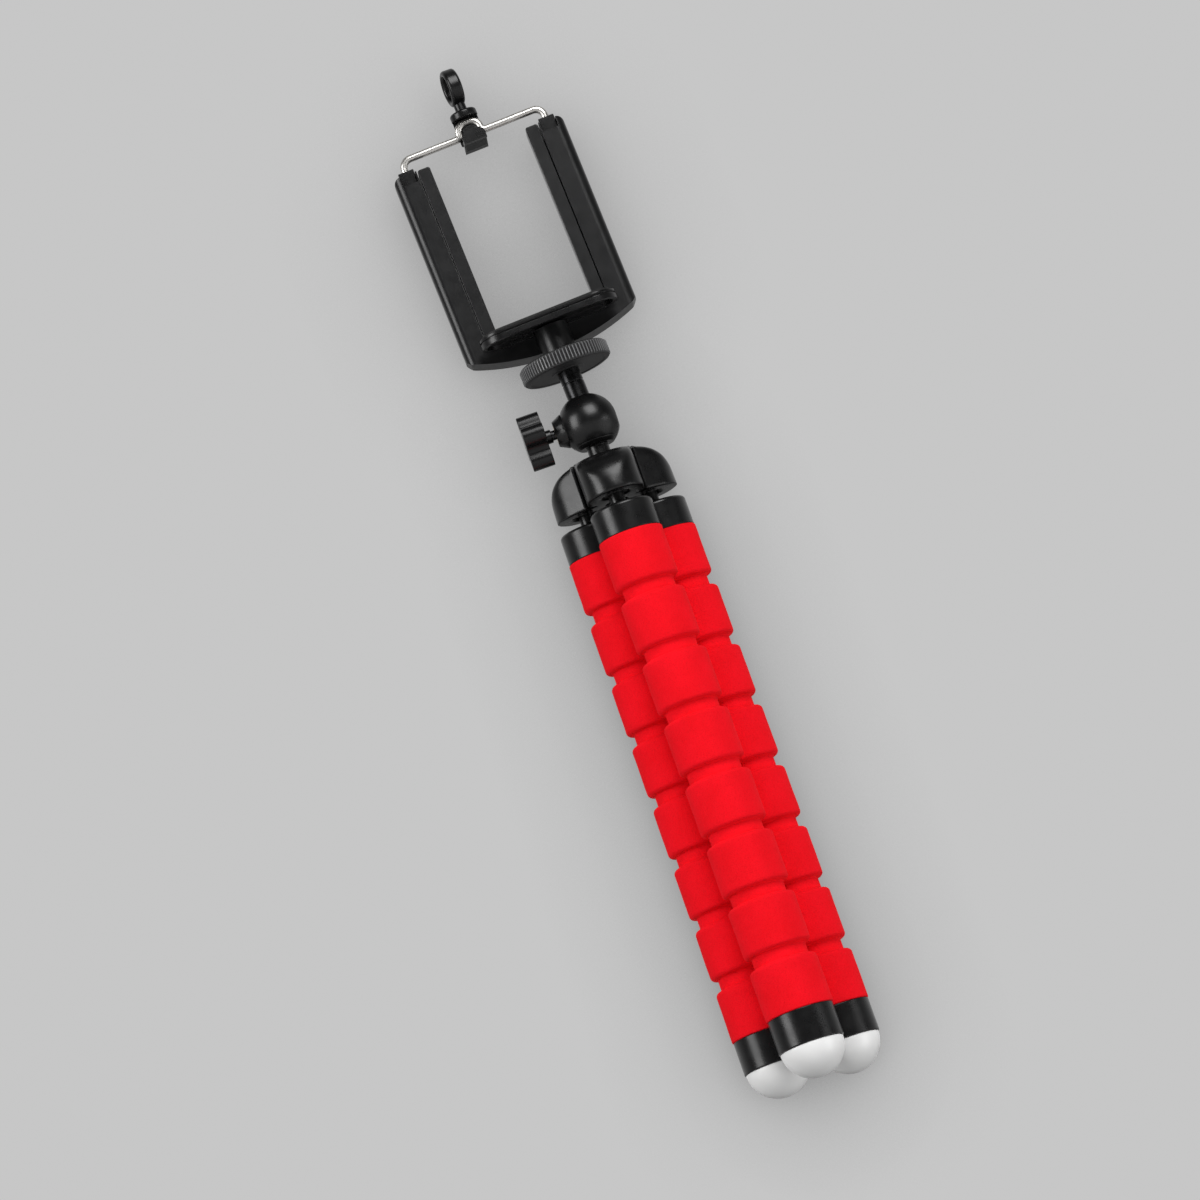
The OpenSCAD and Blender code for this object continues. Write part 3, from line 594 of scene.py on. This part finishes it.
def knurled_wheel():
    """The lock wheel with rounded ribs, a bevel at both rims and a hole for the screw."""
    around = RIBS * RIB_STEPS
    rings = []
    crests = []
    for r, z, rib in WHEEL_ROWS:
        ring = []
        for k in range(around):
            a = 2 * math.pi * k / around
            swing = math.sin(RIBS * a)
            wave = max(0.0, swing * RIB_GAIN + RIB_SHIFT)
            out = r + rib * RIB_H * min(1.0, wave)
            ring.append(HOLDER @ (Vector((out * math.cos(a), out * math.sin(a), WHEEL_Z + z)) * MM))
            # Crest weight: where the painted highlight lies on each rib.
            crests.append(rib * max(0.0, swing) ** 2)
        rings.append(ring)
    mesh = ring_mesh("knurled_wheel", rings, 38, capped=False)
    mesh.attributes.new("crest", "FLOAT", "POINT").data.foreach_set("value", crests)
    stand_for(new_piece("knurled_wheel", mesh, KNURL), "lock_wheel")


def springs():
    """The bail's springs, a smooth-shaded copy of their CAD node that stands for it."""
    piece = new_piece("spring_coils", NODES["bail_springs"].data.copy(), ZINC_STEEL)
    piece.data.shade_smooth()
    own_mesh(piece)
    stand_for(piece, "bail_springs")


for leg in LEGS:
    moulded(leg + "_upper_cap", 0.35)
    moulded(leg + "_lower_cap", 0.35)
    moulded(leg + "_foot", 0.3)
    moulded(leg + "_ball_stud", 0.2)
softened("crown", voxel=0.4, rounds=6, free=crown_skin, free_rounds=140)
moulded("ball_housing", 0.4)
moulded("ball_seat", 0.25)
moulded("clamp_knob", 0.9)
moulded("head_stud", 0.15)
moulded("holder_frame", 0.45, BLACK_SATIN)
moulded("left_arm_cover", 0.35, BLACK_SATIN)
moulded("right_arm_cover", 0.35, BLACK_SATIN)
moulded("tray", 0.3)
moulded("hook_block", 0.35)
moulded("pull_ring", 0.3)
moulded("bail_bushes", 0.25)
bent_wire()
knurled_wheel()
springs()


# Stage, light and camera, in metres

FLOOR_SIZE = 9.0
FLOOR_Z = -0.0002
PALE = (0.56, 0.56, 0.56)


def plane(name, size, place):
    """A square of the stage."""
    mesh = bpy.data.meshes.new(name)
    h = size / 2
    mesh.from_pydata([(-h, -h, 0), (h, -h, 0), (h, h, 0), (-h, h, 0)], [], [(0, 1, 2, 3)])
    made = bpy.data.objects.new(name, mesh)
    bpy.context.scene.collection.objects.link(made)
    made.matrix_world = place
    return made


def one_sided(name, colour):
    """Pale matte surface that is clear from behind, with faint mottling."""
    material, tree, shader = new_tree(name)
    tone = noise_node(tree, 9, 5.0, 0.6)
    duller = tuple(c * 0.97 for c in colour)
    tree.links.new(ramp(tree, tone, [(0.3, duller), (0.7, colour)]), shader.inputs["Base Color"])
    shader.inputs["Roughness"].default_value = 0.9
    shader.inputs["Specular IOR Level"].default_value = 0.1
    clear = tree.nodes.new("ShaderNodeBsdfTransparent")
    choose = tree.nodes.new("ShaderNodeMixShader")
    behind = tree.nodes.new("ShaderNodeNewGeometry")
    tree.links.new(behind.outputs["Backfacing"], choose.inputs[0])
    tree.links.new(shader.outputs[0], choose.inputs[1])
    tree.links.new(clear.outputs[0], choose.inputs[2])
    tree.links.new(choose.outputs[0], tree.nodes["Material Output"].inputs["Surface"])
    return material


floor = plane("floor", FLOOR_SIZE, Matrix.Translation((0, 0, FLOOR_Z)))
floor.data.materials.append(one_sided("pale_floor", PALE))
floor.visible_shadow = False
floor.visible_diffuse = False


def studio_world(front, back, back_light):
    """A studio that is dim on the camera's side and pale behind the object, where it gives less light."""
    world = bpy.data.worlds.new("studio")
    bpy.context.scene.world = world
    world.use_nodes = True
    tree = world.node_tree
    where = tree.nodes.new("ShaderNodeTexCoord")
    parts = tree.nodes.new("ShaderNodeSeparateXYZ")
    tree.links.new(where.outputs["Generated"], parts.inputs[0])
    span = add(tree, "ShaderNodeMapRange", From_Min=-0.25, From_Max=0.75)
    span.interpolation_type = "SMOOTHSTEP"
    tree.links.new(parts.outputs["Y"], span.inputs["Value"])
    shown = ramp(tree, span.outputs["Result"], [(0.0, front), (1.0, back)])
    given = ramp(tree, span.outputs["Result"], [(0.0, front), (1.0, back_light)])
    path = tree.nodes.new("ShaderNodeLightPath")
    seen = path.outputs["Is Camera Ray"]
    for ray in ("Is Glossy Ray", "Is Transmission Ray"):
        either = tree.nodes.new("ShaderNodeMath")
        either.operation = "MAXIMUM"
        tree.links.new(seen, either.inputs[0])
        tree.links.new(path.outputs[ray], either.inputs[1])
        seen = either.outputs[0]
    tree.links.new(mix(tree, seen, given, shown), tree.nodes["Background"].inputs["Color"])


studio_world(front=0.04, back=0.57, back_light=0.30)

CAMERA_AZIMUTH = math.radians(1.55)
CAMERA_ELEVATION = math.radians(10.08)
CAMERA_ROLL = math.radians(-19.50)
CAMERA_DISTANCE = 3.0
CAMERA_TARGET = Vector((-0.0155, 0, 0.1679))
FOCAL_PIXELS = 9495
IMAGE_PIXELS = 1200

lens = bpy.data.cameras.new("camera")
lens.sensor_width = 36
lens.lens = FOCAL_PIXELS / IMAGE_PIXELS * lens.sensor_width
lens.clip_end = 100
camera = bpy.data.objects.new("camera", lens)
bpy.context.scene.collection.objects.link(camera)
forward = Vector((
    math.sin(CAMERA_AZIMUTH) * math.cos(CAMERA_ELEVATION),
    math.cos(CAMERA_AZIMUTH) * math.cos(CAMERA_ELEVATION),
    math.sin(CAMERA_ELEVATION),
))
right = forward.cross(Vector((0, 0, 1))).normalized()
up = right.cross(forward)
across = right * math.cos(CAMERA_ROLL) + up * math.sin(CAMERA_ROLL)
upward = up * math.cos(CAMERA_ROLL) - right * math.sin(CAMERA_ROLL)
turn = Matrix((across, upward, -forward)).transposed().to_4x4()
camera.matrix_world = Matrix.Translation(CAMERA_TARGET - forward * CAMERA_DISTANCE) @ turn
bpy.context.scene.camera = camera

LIGHT_AIM = Vector((0, 0, 0.17))


def softbox(name, seen, distance, size, power):
    """An area light that looks at the object from a side given in the picture: right, up and near."""
    light = bpy.data.lights.new(name, "AREA")
    light.shape = "RECTANGLE"
    light.size, light.size_y = size
    light.energy = power
    lamp = bpy.data.objects.new(name, light)
    bpy.context.scene.collection.objects.link(lamp)
    towards = (across * seen[0] + upward * seen[1] - forward * seen[2]).normalized()
    lamp.location = LIGHT_AIM + towards * distance
    lamp.rotation_euler = towards.to_track_quat("Z", "Y").to_euler()


softbox("top", (0.04, 0.82, 0.57), 1.7, (1.0, 1.0), 22)
softbox("left", (-0.86, 0.09, 0.50), 1.7, (0.8, 1.2), 18)
softbox("right", (0.90, 0.04, 0.43), 1.8, (0.8, 1.2), 16)
softbox("low", (-0.40, -0.55, 0.73), 1.7, (1.2, 1.2), 6)

SHADOW_FILM_SIZE = 3.0
BACK_Y = 0.0187
SHADE_REACH = 0.045
SHADE_TONE = 0.30
SHADE_SAMPLES = 6


def contact_shade(name, lit_from):
    """A clear film with a painted contact shadow: it dims what lies behind it where the object is close, and is
    clear from behind.
    """
    material, tree, shader = new_tree(name)
    tree.nodes.remove(shader)
    near = add(tree, "ShaderNodeAmbientOcclusion", Distance=SHADE_REACH, Normal=lit_from)
    near.samples = SHADE_SAMPLES
    tone = ramp(tree, near.outputs["AO"], [(0.0, SHADE_TONE), (1.0, 1.0)])
    behind = tree.nodes.new("ShaderNodeNewGeometry").outputs["Backfacing"]
    clear = tree.nodes.new("ShaderNodeBsdfTransparent")
    tree.links.new(mix(tree, behind, tone, (1.0, 1.0, 1.0)), clear.inputs["Color"])
    tree.links.new(clear.outputs[0], tree.nodes["Material Output"].inputs["Surface"])
    return material


# Painted shadow: a clear upright film just behind the object, darkened by ambient occlusion turned towards the top
# lamp, not by the lamps themselves.
upright = Matrix.Rotation(math.radians(90), 4, "X")
painted_shadow_film = plane("painted_shadow_film", SHADOW_FILM_SIZE, Matrix.Translation((0, BACK_Y, 0)) @ upright)
shade_from = tuple((upward * 0.5 - forward).normalized())
painted_shadow_film.data.materials.append(contact_shade("contact_shade", shade_from))
painted_shadow_film.visible_shadow = False
painted_shadow_film.visible_diffuse = False
painted_shadow_film.visible_glossy = False
painted_shadow_film.visible_transmission = False

bpy.context.scene.view_settings.view_transform = "Standard"
